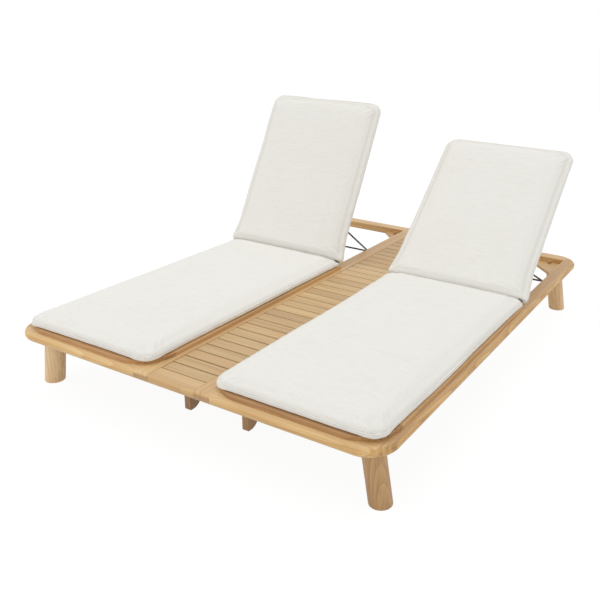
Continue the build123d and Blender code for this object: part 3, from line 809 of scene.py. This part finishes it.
def puckered(point, length, radii, seed):
    """A pad's point with the small gathers of its hem and the cloth's soft unevenness."""
    distance = edge_distance(point, length)
    offset, radius = inward(point, length, radii)
    if offset.length > 1e-5:
        distance = min(distance, radius - offset.length)
    near = ease((HEM_REACH - distance) / HEM_REACH)
    high = ease((point.z - GATHER_START) / GATHER_RAMP)
    corner = math.dist((abs(point.x), abs(point.y - length / 2)), (HALF_WIDTH, length / 2))
    gathered = 1 + CORNER_EXTRA * ease(1 - corner / CORNER_REACH)

    along = point.x + point.y
    place = Vector((along * GATHER_RATE[0] + seed, distance * GATHER_RATE[1], seed * 1.7))
    gather = noise.noise(place) * GATHER_DEPTH
    gather += noise.noise(place * FINE_GATHER_RATE) * FINE_GATHER_DEPTH
    soft = 0.0
    for (across, down), turn, depth in (
            (SOFT_RATE, 3.1, SOFT_DEPTH), (FINE_SOFT_RATE, 5.3, FINE_SOFT_DEPTH)):
        soft += noise.noise(Vector((point.x * across, point.y * down, seed * turn))) * depth
    lift = (gather * gathered * near + soft * (1 - SOFT_LOSS * near)) * high
    wave = noise.noise(Vector((along * WAVE_RATE, seed * 2.2, 0.5))) * WAVE_DEPTH
    fine_wave = noise.noise(Vector((along * FINE_WAVE_RATE, seed * 4.1, 1.5)))
    wave += fine_wave * FINE_WAVE_DEPTH * gathered
    wave += TUCK_DEPTH * max(0.0, 1 - point.z / TUCK_HEIGHT)
    pull = offset.normalized() * wave * near * ease(offset.length / PULL_RAMP)
    droop = 0.0
    if length == SEAT_LENGTH and point.y < length / 2:
        droop = FRONT_DROOP * ease(1 - corner / DROOP_REACH)
    return point + pull + Vector((0, 0, lift - droop))


def painted_groove_shade(point, length, welt_height):
    """How near a pad's point is to the painted groove shade above its welt, from 0 to 1, but not at
    the fold.
    """
    fold = length if length == SEAT_LENGTH else 0.0
    if edge_distance(point, length) > GROOVE_REACH or point.z < welt_height:
        return 0.0
    if abs(point.y - fold) < GROOVE_FOLD_GAP:
        return 0.0
    return math.exp(-((point.z - welt_height - GROOVE_RISE) / GROOVE_WIDTH) ** 2)


def leaned(height, angle, fold_distance):
    """How far a point at the fold moves so that both halves meet on the angle's middle plane."""
    return math.tan(math.radians(angle) / 2) * height * ease(1 - fold_distance / LEAN_REACH)


def bulged(x, fold_distance, most):
    """The pad spreads sideways where its foam is pressed together at the fold."""
    spread = most * ease(1 - fold_distance / BULGE_REACH) * ease((abs(x) - BULGE_START) / BULGE_RAMP)
    return x + math.copysign(spread, x)


def place_seat(point, facts):
    """A point of the flat seat half, on the seat panel, leaning at the fold."""
    end = SEAT_LENGTH - point.y
    lean = leaned(PAD_BASE - HINGE_Z + point.z, facts["angle"], end)
    x = facts["sign"] * (facts["centre"] + bulged(point.x, end, SEAT_BULGE))
    return Vector((x, HINGE_Y - FOLD_GAP - end - lean, PAD_BASE + point.z))


def place_back(point, facts):
    """A point of the flat back half, leaning at the fold, swung up to its angle."""
    height = PAD_BASE - HINGE_Z + point.z
    turn = math.radians(facts["angle"])
    y = point.y * facts["stretch"] + FOLD_GAP + leaned(height, facts["angle"], point.y)
    return Vector((
        facts["sign"] * (facts["centre"] + bulged(point.x, point.y, BACK_BULGE)),
        HINGE_Y + y * math.cos(turn) - height * math.sin(turn),
        HINGE_Z + y * math.sin(turn) + height * math.cos(turn)))


def mesh_object(name, coords, faces, material, hem=None):
    mesh = bpy.data.meshes.new(name)
    mesh.from_pydata(coords, [], faces)
    if hem:
        mesh.attributes.new("hem", "FLOAT", "POINT").data.foreach_set("value", hem)
    for polygon in mesh.polygons:
        polygon.use_smooth = True
    mesh.materials.append(material)
    mesh.validate()
    obj = bpy.data.objects.new(name, mesh)
    bpy.context.collection.objects.link(obj)
    return obj


def tube(path, radius, sides=8):
    """A closed tube of small radius along a closed path of points."""
    coords = []
    faces = []
    count = len(path)
    for i in range(count):
        tangent = (path[(i + 1) % count] - path[i - 1]).normalized()
        side = tangent.cross(Vector((0, 0, 1)))
        side = side.normalized() if side.length > 1e-6 else Vector((1, 0, 0))
        up = side.cross(tangent).normalized()
        for k in range(sides):
            angle = 2 * math.pi * k / sides
            coords.append(path[i] + radius * (math.cos(angle) * side + math.sin(angle) * up))
    for i in range(count):
        j = (i + 1) % count
        for k in range(sides):
            m = (k + 1) % sides
            faces.append((i * sides + k, i * sides + m, j * sides + m, j * sides + k))
    return coords, faces


def seam_path(tree, length, radii, height):
    """A seam's line on the pad's side wall, at one height."""
    points = evened(outline(length, radii, 0.0), SEAM_SPACING)
    return [tree.find_nearest(Vector((x, y, height)))[0].copy() for x, y in points]


def fold_axes(angle):
    """Directions across the fold, from seat to back, and outward from it."""
    half = math.radians(angle / 2)
    return Vector((0, math.cos(half), math.sin(half))), Vector((0, -math.sin(half), math.cos(half)))


def fold_blend(obj):
    """Bake a piece's transform into its mesh."""
    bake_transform(obj)


def fold_tie(side, facts, material):
    """A small cord loop at the fold's right end, which laces the two halves together."""
    across, outward = fold_axes(facts["angle"])
    middle = facts["sign"] * facts["centre"] + HALF_WIDTH - TIE_INSET
    centre = Vector((middle, HINGE_Y, HINGE_Z)) + outward * TIE_RISE

    def on_loop(turn, gap):
        reach = Vector((TIE_REACH * math.cos(turn), 0, 0))
        return centre + reach + outward * TIE_HEIGHT * math.sin(turn) + across * gap

    turns = [math.radians(90 - TIE_TURN * k / (TIE_STEPS - 1)) for k in range(TIE_STEPS)]
    path = [on_loop(turn, TIE_HALF_GAP) for turn in turns]
    path += [on_loop(turn, -TIE_HALF_GAP) for turn in reversed(turns)]
    coords, faces = tube(path, TIE_RADIUS)
    return mesh_object(side + "_fold_tie", coords, faces, material)


class Form:
    """Points and faces of one piece, which grows by one cushion half at a time."""

    def __init__(self, facts):
        self.facts = facts
        self.coords = []
        self.faces = []

    def grow(self, coords, faces, put):
        """Adds a flat form, put in its place; the left lounger's faces turn round."""
        start = len(self.coords)
        self.coords += [put(point, self.facts) for point in coords]
        for face in faces:
            moved = tuple(start + i for i in face)
            self.faces.append(moved if self.facts["sign"] > 0 else moved[::-1])


def make_cushions():
    halves = []
    for name, length, radii, put, seed_shift, welt_height in (
            ("seat_blank", SEAT_LENGTH, (FRONT_RADIUS, SEAT_FOLD_RADIUS), place_seat, 0.0,
             SEAT_WELT_HEIGHT),
            ("back_blank", BACK_LENGTH, (BACK_FOLD_RADIUS, TOP_RADIUS), place_back, 1.4,
             BACK_WELT_HEIGHT)):
        flat, quads = swollen_pad(name, length, radii)
        halves.append((flat, quads, length, radii, put, seed_shift, welt_height))
    fabric = make_fabric("pad_fabric", srgb(240, 239, 234), srgb(227, 224, 217))
    thread = make_fabric("pad_seam", srgb(243, 242, 238), srgb(232, 229, 222), 0.4)
    # A thin dark tube above each welt: painted shade of the groove there
    shade_line_fabric = make_fabric("pad_shade_line", srgb(206, 201, 191), srgb(186, 180, 168), 0.4)
    cord = make_metal("tie_cord", srgb(104, 92, 78), 0.8, 0.0)
    for side, facts in SIDES.items():
        pad, welt, shade_line = Form(facts), Form(facts), Form(facts)
        hem = []
        for flat, quads, length, radii, put, seed_shift, welt_height in halves:
            gathered = [puckered(p, length, radii, facts["seed"] + seed_shift) for p in flat]
            pad.grow(gathered, quads, put)
            # Each point's share of the painted groove shade above the welt
            hem += [painted_groove_shade(p, length, welt_height) for p in flat]
            tree = BVHTree.FromPolygons(gathered, quads)
            # The welt, and above it the thin dark tube of painted groove shade
            for form, rise, radius in (
                    (welt, 0.0, WELT_RADIUS), (shade_line, SHADE_LINE_RISE, SHADE_LINE_RADIUS)):
                form.grow(*tube(seam_path(tree, length, radii, welt_height + rise), radius), put)
        pieces = [
            mesh_object(side + "_pad", pad.coords, pad.faces, fabric, hem),
            mesh_object(side + "_pad_welt", welt.coords, welt.faces, thread),
            mesh_object(side + "_pad_shade_line", shade_line.coords, shade_line.faces, shade_line_fabric),
            fold_tie(side, facts, cord)]
        for piece in pieces:
            fold_blend(piece)
        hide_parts(side + "_seat_cushion", side + "_back_cushion")


make_camera()
make_world()
make_floor()
make_area("key", place=(-4.5, -4.2, 5.3), target=(0, 0, 0.3), size=4.2, power=71,
          colour=(1.0, 0.99, 0.975))
make_area("top", place=(0.4, 0.9, 7.8), target=(0, 0.1, 0.3), size=6.2, power=104)
bpy.context.scene.view_settings.view_transform = "Standard"
dress_table()
dress_rails_and_legs()
dress_seats()
dress_backs()
dress_fittings()
make_cushions()
